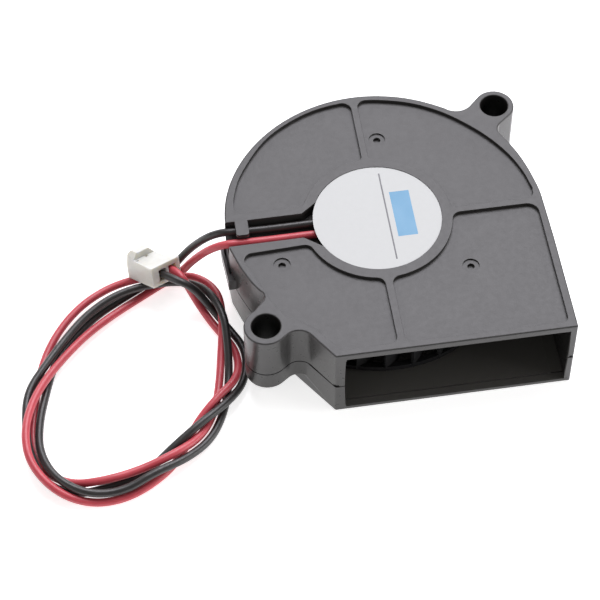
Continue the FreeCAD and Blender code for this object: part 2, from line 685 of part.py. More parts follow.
def block(x0, x1, y0, y1, z0, z1):
    return Part.makeBox(x1 - x0, y1 - y0, z1 - z0, V(x0, y0, z0))


def turned(shape, deg, axis=V(0, 0, 1), at=V(0, 0, 0)):
    sh = shape.copy()
    sh.rotate(at, axis, deg)
    return sh


def rounded(shape, rad, pick):
    return shape.makeFillet(rad, [e for e in shape.Edges if pick(e)])


zc0, zc1 = VAL["core_bottom"] - 1.15, VAL["core_top"] + 1.15
coil = block(4.95, 7.3, -2.2, 2.2, zc0, zc1)
coil = rounded(coil, 0.55, lambda e: abs(e.Vertexes[0].Point.x - e.Vertexes[-1].Point.x) > 1.0)
coil = coil.cut(block(4.0, 8.0, -1.15, 1.15, VAL["core_bottom"] - 0.5, VAL["core_top"] + 0.5))
feature("stator_coils", Part.makeCompound([turned(coil, a) for a in (0, 90, 180, 270)]))

zb0, zb1 = VAL["board_bottom"], VAL["board_top"]
PINS = [(0.0, 7.85), (7.85, 0.0), (0.0, -7.85)]
b = new_body("circuit_board")
s = new_sketch(b, "board_outline", "board_bottom")
circle(s, "board_rad")
circle(s, "board_hole")
for px, py in PINS:
    circle(s, 0.45, px, py)
pad(b, s, "board", "board_top", "board_bottom")
seat(b)
feature("winding_pins", Part.makeCompound([Part.makeCylinder(0.35, zb1 + 0.5 - VAL["core_top"] - 1.4, V(px, py, VAL["core_top"] + 1.4)) for px, py in PINS]))


def chip(cx, cy, lx, ly, z0, hz, deg):
    c = block(-lx / 2, lx / 2, -ly / 2, ly / 2, z0, z0 + hz)
    c = turned(c, deg)
    c.translate(V(cx, cy, 0))
    return c


feature("hall_driver_ic", chip(4.75, 4.75, 3.0, 3.9, zb0 - 1.25, 1.25, 45.0))
feature("chip_capacitor", chip(4.4, 4.4, 1.25, 2.0, zb1, 0.55, 45.0))
feature("chip_resistors", Part.makeCompound([chip(5.2, -4.6, 0.85, 1.6, zb1, 0.45, -45.0), chip(6.6, -2.6, 0.85, 1.6, zb1, 0.45, -20.0)]))
feature("reverse_diode", chip(-4.4, -5.4, 1.5, 2.7, zb1, 0.6, 50.0))

# ---------------------------------------------------------------- leads

BLACK = [(-8.00, 1.46, 13.47), (-11.00, 1.48, 13.50), (-15.90, 1.44, 13.47), (-21.10, 1.50, 13.48),
     (-26.10, 1.98, 13.52), (-30.08, 4.30, 7.43), (-33.23, 4.88, 1.93), (-36.81, 3.57, 0.57),
     (-42.24, 0.03, 1.33), (-46.87, -2.56, 0.98), (-51.05, -6.59, 0.91), (-54.32, -11.07, 0.87),
     (-55.98, -16.56, 1.06), (-57.36, -22.07, 1.65), (-57.79, -27.78, 2.09), (-55.73, -33.27, 2.64),
     (-51.18, -36.78, 2.43), (-45.59, -36.91, 1.93), (-40.18, -34.61, 2.87), (-35.41, -32.53, 1.95),
     (-30.93, -28.91, 0.87), (-28.13, -23.62, 0.72), (-26.77, -18.20, 0.95), (-26.23, -12.89, 2.96),
     (-26.15, -7.63, 4.62), (-28.29, -1.83, 3.96), (-32.06, 1.87, 1.80), (-38.03, 0.95, 3.16),
     (-43.37, -0.26, 3.07), (-48.29, -3.27, 2.62), (-52.11, -7.36, 2.32), (-55.52, -11.85, 2.35),
     (-58.85, -16.44, 2.13), (-59.57, -22.15, 1.78), (-59.38, -27.73, 2.13), (-57.38, -33.46, 1.17),
     (-52.45, -35.74, 0.69), (-46.38, -34.91, 1.01), (-41.27, -32.94, 0.54), (-36.66, -29.64, 1.93),
     (-32.34, -26.89, 2.97), (-27.54, -23.25, 2.38), (-24.31, -18.80, 0.76), (-23.24, -12.91, 0.97),
     (-25.82, -7.42, 0.51), (-28.76, -3.79, 3.15), (-30.78, -2.94, 6.53), (-33.65, -1.54, 7.40),
     (-35.51, 0.87, 6.03)]
RED = [(-8.00, -0.79, 13.47), (-11.00, -0.77, 13.50), (-15.90, -0.81, 13.47), (-21.10, -0.77, 13.48),
     (-26.10, -0.60, 13.52), (-29.86, 1.51, 7.85), (-32.47, 2.95, 2.12), (-37.98, 3.27, 2.26),
     (-43.18, 2.95, 1.47), (-48.24, 0.13, 1.62), (-52.21, -3.68, 1.31), (-55.24, -8.47, 0.98),
     (-57.00, -13.69, 0.75), (-58.06, -19.26, 0.66), (-58.80, -24.75, 0.77), (-57.64, -30.54, 0.64),
     (-53.53, -33.94, 1.14), (-48.11, -34.79, 2.50), (-42.56, -33.58, 2.23), (-37.09, -31.81, 2.77),
     (-32.66, -28.79, 1.65), (-29.80, -23.82, 0.61), (-28.35, -18.34, 0.80), (-27.38, -12.94, 1.49),
     (-26.41, -7.82, 3.06), (-26.41, -1.46, 2.64), (-30.12, 2.93, 1.84), (-33.95, 3.41, 0.62),
     (-39.16, 0.29, 0.77), (-44.05, -2.86, 1.18), (-48.55, -6.31, 1.52), (-52.29, -10.30, 1.98),
     (-55.76, -14.77, 2.60), (-58.37, -19.59, 3.09), (-59.79, -25.24, 3.57), (-59.23, -30.68, 3.26),
     (-55.85, -35.53, 2.30), (-50.86, -37.62, 0.75), (-45.26, -37.54, 0.78), (-40.06, -35.03, 0.86),
     (-35.99, -31.20, 0.58), (-33.32, -26.20, 1.19), (-29.51, -22.67, 2.70), (-25.13, -18.63, 2.18),
     (-24.89, -12.66, 1.14), (-27.62, -7.57, 0.50), (-29.88, -3.36, 1.88), (-31.62, -1.44, 5.86),
     (-32.72, 0.44, 6.43), (-33.86, 1.91, 5.60)]


def lead(name, pts):
    ps = [V(*p) for p in pts]
    edges, length, at, radii = [], 0.0, ps[0], []
    for i in range(1, len(ps) - 1):
        a, c, d = ps[i - 1], ps[i], ps[i + 1]
        u, w = (c - a).normalize(), (d - c).normalize()
        turn = u.getAngle(w)
        short = min((c - a).Length, (d - c).Length)
        rad = 0.45 * short / math.tan(turn / 2)
        cutb = 0.45 * short
        p0, p1 = c - u * cutb, c + w * cutb
        bis = (w - u).normalize()
        cen = c + bis * (rad / math.cos(turn / 2))
        mid = cen - bis * rad
        edges.append(Part.LineSegment(at, p0).toShape())
        edges.append(Part.Arc(p0, mid, p1).toShape())
        length += (p0 - at).Length + rad * turn
        at = p1
        radii.append((round(rad, 1), round(math.degrees(turn), 1)))
    edges.append(Part.LineSegment(at, ps[-1]).toShape())
    length += (ps[-1] - at).Length
    path = Part.Wire(edges)
    r = VAL["lead_dia"] / 2
    prof = Part.Wire([Part.Circle(ps[0], (ps[1] - ps[0]), r).toShape()])
    tube = path.makePipeShell([prof], True, False)
    ob = feature(name, tube)
    want = math.pi * r * r * length
    print(name, "length %.2f volume %.3f against %.3f" % (length, ob.Shape.Volume, want), "smallest radius", min(radii))
    print("   arc radii and turns", radii)
    if abs(ob.Shape.Volume - want) > 0.01 * want:
        raise RuntimeError(name + " volume is off")
    return ob


lead("black_lead", BLACK)
lead("red_lead", RED)

# solder joints on the board, one for each lead's end


def joint_at(p):
    x, y, z = p
    body = Part.makeCylinder(0.62, 1.5, V(x, y, z), V(1, 0, 0))
    foot = block(x, x + 1.5, y - 0.62, y + 0.62, VAL["board_top"], z)
    return body.fuse(foot).removeSplitter()


feature("lead_solder_joints", Part.makeCompound([joint_at(BLACK[0]), joint_at(RED[0])]))

# ---------------------------------------------------------------- plug

PC = V(-36.5, 3.45, 5.2)
PW = V(0.8274515, 0.5182828, -0.2161179)
PL = V(-0.5587554, 0.7216694, -0.4086388)
PT = V(-0.0558248, 0.4588859, 0.8867398)


def in_plug(shape):
    # local x = across the pins, y = towards the mating end, z = up through the housing
    m = FreeCAD.Matrix(PW.x, PL.x, PT.x, PC.x, PW.y, PL.y, PT.y, PC.y, PW.z, PL.z, PT.z, PC.z, 0, 0, 0, 1)
    sh = shape.copy()
    sh.transformShape(m, True)
    return sh


def outside(a, b, c, away):
    # thick slab that starts at the plane through three points and grows towards away
    a, b, c, away = [V(*q) for q in (a, b, c, away)]
    n = (b - a).cross(c - a).normalize()
    if n.dot(away - a) < 0:
        n = n * -1.0
    slab = Part.makeBox(30, 30, 6, V(-15, -15, 0))
    slab.Placement = FreeCAD.Placement(a, FreeCAD.Rotation(V(0, 0, 1), n))
    return slab


WX, WL, WT = 2.9, 3.55, 2.15
CX, CT = 0.3, -0.5
house = block(-WX, WX, -WL, WL, -WT, 1.3)
hood = block(-WX, WX, 1.5, WL, 0.8, 2.4)
house = house.fuse(hood).removeSplitter()
house = rounded(house, 0.55, lambda e: abs(e.CenterOfMass.y - WL) < 1e-6 and (abs(e.CenterOfMass.z - 2.4) < 1e-6))
house = rounded(house, 0.35, lambda e: abs(e.Vertexes[0].Point.z - e.Vertexes[-1].Point.z) > 2.0 and e.CenterOfMass.y > 0)
house = house.cut(outside((-WX - 0.02, WL, -0.8), (-WX + 0.6, WL, 1.95), (-WX - 0.02, -WL, 1.3), (-10, 0, 5)))
house = house.cut(outside((-2.75, 0.0, 1.3), (-2.75, 3.0, 1.3), (-1.7, 0.0, 2.42), (-10, 0, 10)))
far = outside((1.15, -1.2, 1.95), (1.15, 3.6, 1.95), (3.0, 0.0, -0.05), (10, 0, 10))
house = house.cut(far.common(block(0.0, 6.0, -1.2, 4.0, -3.0, 6.0)))
for sx in (-1.0, 1.0):
    house = house.cut(block(sx + CX - 0.72, sx + CX + 0.72, -WL - 0.1, WL - 0.5, CT - 0.95, CT + 0.95))
    house = house.cut(block(sx + CX - 0.42, sx + CX + 0.42, WL - 0.6, WL + 0.1, CT - 0.42, CT + 0.42))
for wx, wy in ((-2.2, 1.0), (-0.1, 1.2)):
    house = house.cut(block(wx - 0.28, wx + 0.28, wy - 0.25, wy + 0.25, 0.7, 2.5))
feature("connector_housing", in_plug(house.removeSplitter()))
pins = []
for sx in (-1.0, 1.0):
    p = block(sx + CX - 0.6, sx + CX + 0.6, -2.75, WL - 0.8, CT - 0.7, CT + 0.7)
    p = p.cut(block(sx + CX - 0.33, sx + CX + 0.33, 0.2, WL, CT - 0.4, CT + 0.4))
    pins.append(p)
feature("crimp_terminals", in_plug(Part.makeCompound(pins)))

# ---------------------------------------------------------------- write

doc.recompute()
bad = [o.Name for o in doc.Objects if "Invalid" in o.State or "Error" in o.State]
if bad:
    raise RuntimeError("failed objects: %s" % bad)
CORD = ("black_lead", "red_lead", "connector_housing", "crimp_terminals")
lo, hi = [1e9] * 3, [-1e9] * 3
for ob in NODES:
    sh = ob.Shape
    if sh.isNull() or not sh.isValid() or sh.Volume <= 0:
        raise RuntimeError("bad shape: " + ob.Label)
    bb = sh.BoundBox
    if ob.Label not in CORD:
        for k, (a, c) in enumerate(((bb.XMin, bb.XMax), (bb.YMin, bb.YMax), (bb.ZMin, bb.ZMax))):
            lo[k], hi[k] = min(lo[k], a), max(hi[k], c)
    print("%-20s solids %d volume %9.3f z %6.2f %6.2f" % (ob.Label, len(sh.Solids), sh.Volume, bb.ZMin, bb.ZMax))
print("casing box", [round(v, 3) for v in lo], [round(v, 3) for v in hi],
      "middle", round((lo[0] + hi[0]) / 2, 4), round((lo[1] + hi[1]) / 2, 4))
os.makedirs("parts", exist_ok=True)
for ob in NODES:
    ob.Shape.exportStep(os.path.join("parts", ob.Label + ".step"))
print(len(NODES), "nodes")
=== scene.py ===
import bpy, bmesh, json, math, random
from mathutils import Vector, Matrix


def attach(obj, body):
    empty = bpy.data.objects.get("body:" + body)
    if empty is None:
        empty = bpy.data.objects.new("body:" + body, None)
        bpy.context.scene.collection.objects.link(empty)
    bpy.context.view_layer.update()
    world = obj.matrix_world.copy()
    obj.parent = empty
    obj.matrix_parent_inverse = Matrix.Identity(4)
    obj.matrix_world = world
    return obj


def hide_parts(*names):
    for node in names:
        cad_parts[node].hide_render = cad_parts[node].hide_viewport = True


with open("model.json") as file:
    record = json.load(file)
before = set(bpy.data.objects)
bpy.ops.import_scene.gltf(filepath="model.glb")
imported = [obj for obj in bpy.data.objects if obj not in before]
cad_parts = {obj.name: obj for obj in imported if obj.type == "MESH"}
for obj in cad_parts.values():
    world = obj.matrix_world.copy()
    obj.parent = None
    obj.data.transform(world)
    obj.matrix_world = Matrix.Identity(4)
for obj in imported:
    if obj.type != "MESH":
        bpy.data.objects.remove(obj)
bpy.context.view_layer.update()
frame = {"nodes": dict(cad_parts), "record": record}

NODES = frame["nodes"]
SX, SY = -0.9275, 0.0059          # rotor axis in the row frame, mm
MM = 0.001
rng = random.Random(7)


def P(x, y, z):
    return Vector(((x + SX) * MM, (y + SY) * MM, z * MM))


# ------------------------------------------------------------------ camera

cam_data = bpy.data.cameras.new("camera")
cam_data.lens = 127.675
cam_data.sensor_width = 36.0
cam_data.sensor_fit = "HORIZONTAL"
cam_data.clip_start = 0.01
cam_data.clip_end = 5.0
cam = bpy.data.objects.new("camera", cam_data)
bpy.context.scene.collection.objects.link(cam)
right = Vector((0.98933713, -0.14533975, -0.00940184)).normalized()
fwd = Vector((0.0776855, 0.58121049, -0.81003662)).normalized()
up = right.cross(fwd)
cam.matrix_world = Matrix((
    (right.x, up.x, -fwd.x, 0), (right.y, up.y, -fwd.y, 0), (right.z, up.z, -fwd.z, 0), (0, 0, 0, 1)))
cam.matrix_world.translation = P(-40.4329, -207.2609, 283.8229)
bpy.context.scene.camera = cam

# ------------------------------------------------------------------ leads

BLACK = [(-8.00, 1.46, 13.47), (-11.00, 1.48, 13.50), (-15.90, 1.44, 13.47), (-21.10, 1.50, 13.48),
     (-26.10, 1.98, 13.52), (-30.08, 4.30, 7.43), (-33.23, 4.88, 1.93), (-36.81, 3.57, 0.57),
     (-42.24, 0.03, 1.33), (-46.87, -2.56, 0.98), (-51.05, -6.59, 0.91), (-54.32, -11.07, 0.87),
     (-55.98, -16.56, 1.06), (-57.36, -22.07, 1.65), (-57.79, -27.78, 2.09), (-55.73, -33.27, 2.64),
     (-51.18, -36.78, 2.43), (-45.59, -36.91, 1.93), (-40.18, -34.61, 2.87), (-35.41, -32.53, 1.95),
     (-30.93, -28.91, 0.87), (-28.13, -23.62, 0.72), (-26.77, -18.20, 0.95), (-26.23, -12.89, 2.96),
     (-26.15, -7.63, 4.62), (-28.29, -1.83, 3.96), (-32.06, 1.87, 1.80), (-38.03, 0.95, 3.16),
     (-43.37, -0.26, 3.07), (-48.29, -3.27, 2.62), (-52.11, -7.36, 2.32), (-55.52, -11.85, 2.35),
     (-58.85, -16.44, 2.13), (-59.57, -22.15, 1.78), (-59.38, -27.73, 2.13), (-57.38, -33.46, 1.17),
     (-52.45, -35.74, 0.69), (-46.38, -34.91, 1.01), (-41.27, -32.94, 0.54), (-36.66, -29.64, 1.93),
     (-32.34, -26.89, 2.97), (-27.54, -23.25, 2.38), (-24.31, -18.80, 0.76), (-23.24, -12.91, 0.97),
     (-25.82, -7.42, 0.51), (-28.76, -3.79, 3.15), (-30.78, -2.94, 6.53), (-33.65, -1.54, 7.40),
     (-35.51, 0.87, 6.03)]
RED = [(-8.00, -0.79, 13.47), (-11.00, -0.77, 13.50), (-15.90, -0.81, 13.47), (-21.10, -0.77, 13.48),
     (-26.10, -0.60, 13.52), (-29.86, 1.51, 7.85), (-32.47, 2.95, 2.12), (-37.98, 3.27, 2.26),
     (-43.18, 2.95, 1.47), (-48.24, 0.13, 1.62), (-52.21, -3.68, 1.31), (-55.24, -8.47, 0.98),
     (-57.00, -13.69, 0.75), (-58.06, -19.26, 0.66), (-58.80, -24.75, 0.77), (-57.64, -30.54, 0.64),
     (-53.53, -33.94, 1.14), (-48.11, -34.79, 2.50), (-42.56, -33.58, 2.23), (-37.09, -31.81, 2.77),
     (-32.66, -28.79, 1.65), (-29.80, -23.82, 0.61), (-28.35, -18.34, 0.80), (-27.38, -12.94, 1.49),
     (-26.41, -7.82, 3.06), (-26.41, -1.46, 2.64), (-30.12, 2.93, 1.84), (-33.95, 3.41, 0.62),
     (-39.16, 0.29, 0.77), (-44.05, -2.86, 1.18), (-48.55, -6.31, 1.52), (-52.29, -10.30, 1.98),
     (-55.76, -14.77, 2.60), (-58.37, -19.59, 3.09), (-59.79, -25.24, 3.57), (-59.23, -30.68, 3.26),
     (-55.85, -35.53, 2.30), (-50.86, -37.62, 0.75), (-45.26, -37.54, 0.78), (-40.06, -35.03, 0.86),
     (-35.99, -31.20, 0.58), (-33.32, -26.20, 1.19), (-29.51, -22.67, 2.70), (-25.13, -18.63, 2.18),
     (-24.89, -12.66, 1.14), (-27.62, -7.57, 0.50), (-29.88, -3.36, 1.88), (-31.62, -1.44, 5.86),
     (-32.72, 0.44, 6.43), (-33.86, 1.91, 5.60)]


def lead_curve(name, pts):
    cu = bpy.data.curves.new(name, "CURVE")
    cu.dimensions = "3D"
    sp = cu.splines.new("NURBS")
    sp.points.add(len(pts) - 1)
    for q, p in zip(sp.points, pts):
        v = P(*p)
        q.co = (v.x, v.y, v.z, 1.0)
    sp.order_u = 3
    sp.use_endpoint_u = True
    sp.resolution_u = 10
    cu.bevel_depth = 0.65 * MM
    cu.bevel_resolution = 7
    cu.use_fill_caps = True
    ob = bpy.data.objects.new(name, cu)
    bpy.context.scene.collection.objects.link(ob)
    return ob


black = lead_curve("black_wire", BLACK)
red = lead_curve("red_wire", RED)

# ------------------------------------------------------------------ materials


def mat(name):
    m = bpy.data.materials.new(name)
    m.use_nodes = True
    nt = m.node_tree
    b = nt.nodes["Principled BSDF"]
    return m, nt, b


def link(nt, a, b):
    nt.links.new(a, b)


def coords(nt):
    tc = nt.nodes.new("ShaderNodeTexCoord")
    return tc.outputs["Object"]


def noise(nt, vec, scale, detail=4.0, rough=0.55):
    n = nt.nodes.new("ShaderNodeTexNoise")
    n.inputs["Scale"].default_value = scale
    n.inputs["Detail"].default_value = detail
    n.inputs["Roughness"].default_value = rough
    link(nt, vec, n.inputs["Vector"])
    return n.outputs["Fac"]


def ramp(nt, fac, stops):
    r = nt.nodes.new("ShaderNodeValToRGB")
    els = r.color_ramp.elements
    while len(els) < len(stops):
        els.new(0.5)
    for e, (pos, col) in zip(els, stops):
        e.position = pos
        e.color = (*col, 1.0)
    link(nt, fac, r.inputs["Fac"])
    return r.outputs["Color"]


def mrange(nt, fac, lo, hi, a=0.0, b=1.0):
    r = nt.nodes.new("ShaderNodeMapRange")
    r.inputs["From Min"].default_value = a
    r.inputs["From Max"].default_value = b
    r.inputs["To Min"].default_value = lo
    r.inputs["To Max"].default_value = hi
    link(nt, fac, r.inputs["Value"])
    return r.outputs["Result"]


def bump(nt, bsdf, height, dist, strength=1.0, chain=None):
    b = nt.nodes.new("ShaderNodeBump")
    b.inputs["Strength"].default_value = strength
    b.inputs["Distance"].default_value = dist
    link(nt, height, b.inputs["Height"])
    if chain is not None:
        link(nt, chain, b.inputs["Normal"])
    link(nt, b.outputs["Normal"], bsdf.inputs["Normal"])
    return b.outputs["Normal"]


def math_node(nt, op, a, b=None, val=None):
    m = nt.nodes.new("ShaderNodeMath")
    m.operation = op
    link(nt, a, m.inputs[0])
    if b is not None:
        link(nt, b, m.inputs[1])
    elif val is not None:
        m.inputs[1].default_value = val
    return m.outputs[0]


def plastic(name, dark, light, rough=(0.5, 0.62), grain=0.012, grain_scale=5200.0, spec=0.45, wall=None):
    # moulded plastic with a spark-eroded surface
    m, nt, b = mat(name)
    v = coords(nt)
    tone = noise(nt, v, 120.0, 5.0)
    fine = noise(nt, v, grain_scale, 3.0, 0.6)
    mid = noise(nt, v, 1500.0, 3.0, 0.5)
    both_tone = math_node(nt, "ADD", math_node(nt, "MULTIPLY", tone, val=0.6), math_node(nt, "MULTIPLY", fine, val=0.4))
    link(nt, ramp(nt, both_tone, [(0.32, dark), (0.68, light)]), b.inputs["Base Color"])
    top = mrange(nt, mid, rough[0], rough[1], 0.3, 0.7)
    if wall is None:
        link(nt, top, b.inputs["Roughness"])
    else:
        # the walls of the mould are smoother than its eroded floor
        geo = nt.nodes.new("ShaderNodeNewGeometry")
        sep = nt.nodes.new("ShaderNodeSeparateXYZ")
        link(nt, geo.outputs["Normal"], sep.inputs[0])
        flat = mrange(nt, math_node(nt, "ABSOLUTE", sep.outputs[2]), 0.0, 1.0, 0.15, 0.75)
        side = mrange(nt, mid, wall, wall + 0.06, 0.3, 0.7)
        keep = mrange(nt, flat, 1.0, 0.0)
        mixed = math_node(nt, "ADD", math_node(nt, "MULTIPLY", top, flat), math_node(nt, "MULTIPLY", side, keep))
        link(nt, mixed, b.inputs["Roughness"])
    if wall is None:
        b.inputs["Specular IOR Level"].default_value = spec
    else:
        # painted shade: the inner side of the duct's right wall is darkened and its gloss cut
        pos = nt.nodes.new("ShaderNodeSeparateXYZ")
        link(nt, geo.outputs["Position"], pos.inputs[0])
        lo, hi = P(24.2, -25.5, 0.9), P(26.62, 2.0, 14.2)
        painted_shade = None
        for k in range(3):
            over = mrange(nt, pos.outputs[k], 0.0, 1.0, lo[k], lo[k] + 0.05 * MM)
            under = mrange(nt, pos.outputs[k], 1.0, 0.0, hi[k], hi[k] + 0.05 * MM)
            both = math_node(nt, "MULTIPLY", over, under)
            painted_shade = both if painted_shade is None else math_node(nt, "MULTIPLY", painted_shade, both)
        # painted shade as well in the bores of the two screw holes
        for cx, cy in ((-20.59, -18.49), (23.15, 20.35)):
            mid_hole = P(cx, cy, 0.0)
            dx = math_node(nt, "SUBTRACT", pos.outputs[0], val=mid_hole[0])
            dy = math_node(nt, "SUBTRACT", pos.outputs[1], val=mid_hole[1])
            far = math_node(nt, "ADD", math_node(nt, "MULTIPLY", dx, dx), math_node(nt, "MULTIPLY", dy, dy))
            bore_shade = mrange(nt, far, 1.0, 0.0, (2.30 * MM) ** 2, (2.37 * MM) ** 2)
            painted_shade = math_node(nt, "MAXIMUM", painted_shade, bore_shade)
        # painted shade: specular drops to 0.08 inside the duct and the screw bores
        link(nt, mrange(nt, painted_shade, spec, 0.08), b.inputs["Specular IOR Level"])
        # painted shade: base colour falls to 0.45 of the dark tone inside the duct and the bores
        shaded_skin = ramp(nt, math_node(nt, "MULTIPLY", both_tone, mrange(nt, painted_shade, 1.0, 0.0)),
                    [(0.0, [0.45 * c for c in dark]), (0.3, dark), (0.68, light)])
        # painted light: the duct's floor, seen through the outlet, is painted paler and warmer than the outside on its
        # upward faces
        lit_floor_band = math_node(nt, "MULTIPLY", mrange(nt, pos.outputs[2], 0.0, 1.0, 0.6 * MM, 0.7 * MM),
                        mrange(nt, pos.outputs[2], 1.0, 0.0, 1.3 * MM, 1.4 * MM))
        up = mrange(nt, sep.outputs[2], 0.0, 1.0, 0.4, 0.8)
        painted_light_mix = nt.nodes.new("ShaderNodeMix")
        painted_light_mix.data_type = "RGBA"
        link(nt, math_node(nt, "MULTIPLY", lit_floor_band, up), painted_light_mix.inputs[0])
        link(nt, shaded_skin, painted_light_mix.inputs[6])
        # paler colour painted on the duct floor as light
        painted_light_mix.inputs[7].default_value = (0.092, 0.089, 0.083, 1.0)
        link(nt, painted_light_mix.outputs[2], b.inputs["Base Color"])
    hh = math_node(nt, "ADD", math_node(nt, "MULTIPLY", fine, val=0.7), math_node(nt, "MULTIPLY", mid, val=0.5))
    bump(nt, b, hh, grain * MM, 1.0)
    if wall is not None:
        grains = [x for x in nt.nodes if x.bl_idname == "ShaderNodeBump"][-1]
        link(nt, mrange(nt, flat, 0.3, 1.0), grains.inputs["Strength"])
    return m


def metal(name, dark, light, rough=(0.25, 0.45), scale=900.0, stretch=(1, 1, 1), height=0.004):
    m, nt, b = mat(name)
    v = coords(nt)
    mp = nt.nodes.new("ShaderNodeMapping")
    mp.inputs["Scale"].default_value = stretch
    link(nt, v, mp.inputs["Vector"])
    n = noise(nt, mp.outputs["Vector"], scale, 5.0)
    link(nt, ramp(nt, n, [(0.3, dark), (0.7, light)]), b.inputs["Base Color"])
    link(nt, mrange(nt, n, rough[0], rough[1], 0.3, 0.7), b.inputs["Roughness"])
    b.inputs["Metallic"].default_value = 1.0
    bump(nt, b, n, height * MM, 1.0)
    return m


def pvc(name, dark, light, spec=0.5, rough=(0.28, 0.4)):
    m, nt, b = mat(name)
    v = coords(nt)
    tone = noise(nt, v, 260.0, 4.0)
    fine = noise(nt, v, 2600.0, 3.0)
    link(nt, ramp(nt, tone, [(0.3, dark), (0.7, light)]), b.inputs["Base Color"])
    link(nt, mrange(nt, fine, rough[0], rough[1], 0.3, 0.7), b.inputs["Roughness"])
    b.inputs["Specular IOR Level"].default_value = spec
    bump(nt, b, fine, 0.006 * MM, 1.0)
    return m


M = {}
M["casing_plastic"] = plastic("casing_plastic", (0.032, 0.0305, 0.0300), (0.043, 0.0415, 0.0410), (0.43, 0.475), 0.008, 5200.0, 0.5, 0.27)
M["impeller_plastic"] = plastic("impeller_plastic", (0.006, 0.006, 0.006), (0.011, 0.011, 0.012), (0.55, 0.65), 0.006, 5200.0, 0.18)
M["insulator_plastic"] = plastic("insulator_plastic", (0.62, 0.58, 0.47), (0.7, 0.67, 0.57), (0.4, 0.5), 0.006)
M["white_acetal"] = plastic("white_acetal", (0.72, 0.72, 0.68), (0.8, 0.8, 0.77), (0.35, 0.45), 0.005)
M["black_fibre"] = plastic("black_fibre", (0.02, 0.02, 0.02), (0.035, 0.034, 0.033), (0.7, 0.8), 0.02)
M["magnet_rubber"] = plastic("magnet_rubber", (0.03, 0.028, 0.026), (0.05, 0.047, 0.045), (0.55, 0.7), 0.012)
M["chip_epoxy"] = plastic("chip_epoxy", (0.014, 0.014, 0.016), (0.024, 0.024, 0.026), (0.45, 0.6), 0.008)
M["chip_ceramic"] = plastic("chip_ceramic", (0.36, 0.25, 0.15), (0.45, 0.33, 0.21), (0.4, 0.5), 0.006)
M["plated_steel"] = metal("plated_steel", (0.5, 0.5, 0.5), (0.66, 0.66, 0.67))
M["ground_steel"] = metal("ground_steel", (0.62, 0.62, 0.63), (0.75, 0.75, 0.77), (0.12, 0.25), 3000.0, (1, 1, 0.1))
M["lamination_steel"] = metal("lamination_steel", (0.22, 0.22, 0.235), (0.38, 0.38, 0.4), (0.35, 0.55), 1400.0, (0.2, 0.2, 6.0), 0.02)
M["brass_turned"] = metal("brass_turned", (0.62, 0.42, 0.13), (0.78, 0.58, 0.24), (0.2, 0.35), 1500.0, (0.3, 0.3, 3.0))
M["sintered_bronze"] = metal("sintered_bronze", (0.32, 0.2, 0.09), (0.5, 0.34, 0.17), (0.4, 0.6), 4200.0, (1, 1, 1), 0.012)
M["enamelled_copper"] = metal("enamelled_copper", (0.5, 0.17, 0.06), (0.78, 0.33, 0.14), (0.2, 0.35), 2200.0, (1, 1, 4.0), 0.03)
M["tinned_metal"] = metal("tinned_metal", (0.62, 0.62, 0.6), (0.78, 0.78, 0.76), (0.18, 0.36), 1600.0)
M["board_laminate"] = plastic("board_laminate", (0.012, 0.09, 0.03), (0.02, 0.13, 0.05), (0.25, 0.35), 0.004, 2600.0, 0.5)
M["black_pvc"] = pvc("black_pvc", (0.013, 0.012, 0.012), (0.024, 0.022, 0.021), 0.6, (0.34, 0.46))
M["red_pvc"] = pvc("red_pvc", (0.46, 0.045, 0.062), (0.56, 0.068, 0.088), 0.6, (0.34, 0.46))

m, nt, b = mat("white_nylon")
v = coords(nt)
n = noise(nt, v, 700.0, 4.0)
link(nt, ramp(nt, n, [(0.3, (0.60, 0.60, 0.56)), (0.7, (0.67, 0.67, 0.635))]), b.inputs["Base Color"])
link(nt, mrange(nt, n, 0.3, 0.42, 0.3, 0.7), b.inputs["Roughness"])
b.inputs["Subsurface Weight"].default_value = 0.65
b.inputs["Subsurface Radius"].default_value = (0.9, 0.8, 0.6)
b.inputs["Subsurface Scale"].default_value = 0.0016
bump(nt, b, n, 0.006 * MM, 1.0)
M["white_nylon"] = m


def label_material():
    # white film with a plain pale blue block and one thin grey rule, set in the label's own plane
    m, nt, b = mat("label_film")
    v = coords(nt)
    sep = nt.nodes.new("ShaderNodeSeparateXYZ")
    link(nt, v, sep.inputs[0])

    def inside(out, lo, hi):
        a = math_node(nt, "GREATER_THAN", out, val=lo * MM)
        c = math_node(nt, "LESS_THAN", out, val=hi * MM)
        return math_node(nt, "MULTIPLY", a, c)
    tone = noise(nt, v, 300.0, 4.0)
    base = ramp(nt, tone, [(0.3, (0.445, 0.455, 0.445)), (0.7, (0.49, 0.50, 0.492))])
    blue = math_node(nt, "MULTIPLY", inside(sep.outputs[0], 2.7 + SX, 5.9 + SX), inside(sep.outputs[1], -4.3 + SY, 4.8 + SY))
    rule = math_node(nt, "MULTIPLY", inside(sep.outputs[0], 1.57 + SX, 1.82 + SX), inside(sep.outputs[1], -8.7 + SY, 8.9 + SY))
    mx = nt.nodes.new("ShaderNodeMix")
    mx.data_type = "RGBA"
    link(nt, blue, mx.inputs[0])
    link(nt, base, mx.inputs[6])
    mx.inputs[7].default_value = (0.085, 0.27, 0.45, 1)
    mx2 = nt.nodes.new("ShaderNodeMix")
    mx2.data_type = "RGBA"
    link(nt, rule, mx2.inputs[0])
    link(nt, mx.outputs[2], mx2.inputs[6])
    mx2.inputs[7].default_value = (0.10, 0.10, 0.11, 1)
    link(nt, mx2.outputs[2], b.inputs["Base Color"])
    link(nt, mrange(nt, tone, 0.36, 0.46, 0.3, 0.7), b.inputs["Roughness"])
    bump(nt, b, tone, 0.01 * MM, 1.0)
    return m


M["label_film"] = label_material()

SLOT = {s["node"]: s["material_slot"] for s in frame["record"]["subparts"]}
BODY = {n: b for b, ns in frame["record"]["behaviour"]["bodies"].items() for n in ns}


